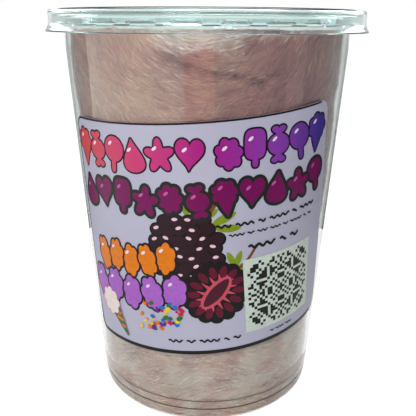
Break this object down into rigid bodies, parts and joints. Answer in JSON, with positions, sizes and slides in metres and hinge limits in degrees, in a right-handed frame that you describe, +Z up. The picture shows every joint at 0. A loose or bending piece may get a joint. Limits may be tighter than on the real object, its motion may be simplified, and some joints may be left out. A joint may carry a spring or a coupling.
{
  "type": "tub of cotton candy",
  "caption": "Clear round plastic tub filled with pink-mauve cotton candy, closed by a clear press-on lid, with a printed label on its front.",
  "frame": {"origin": "middle of the foot, on the surface that the tub stands on", "axes": "+Z up along the tub's axis, -Y out of the front where the label is, +X to the right seen from the front"},
  "size_m": [0.118, 0.118, 0.1488],
  "materials": {
    "tub_plastic": "clear, smooth and glossy",
    "lid_plastic": "clear, smooth and glossy, faintly green at its edges",
    "spun_sugar": "matt mass of fine spun sugar fibres, dusty pink and mauve",
    "label_paper": null
  },
  "bodies": {
    "root": {"tub": "tub_plastic", "lid": "lid_plastic", "cotton_candy": "spun_sugar", "label": "label_paper"}
  },
  "joints": []
}
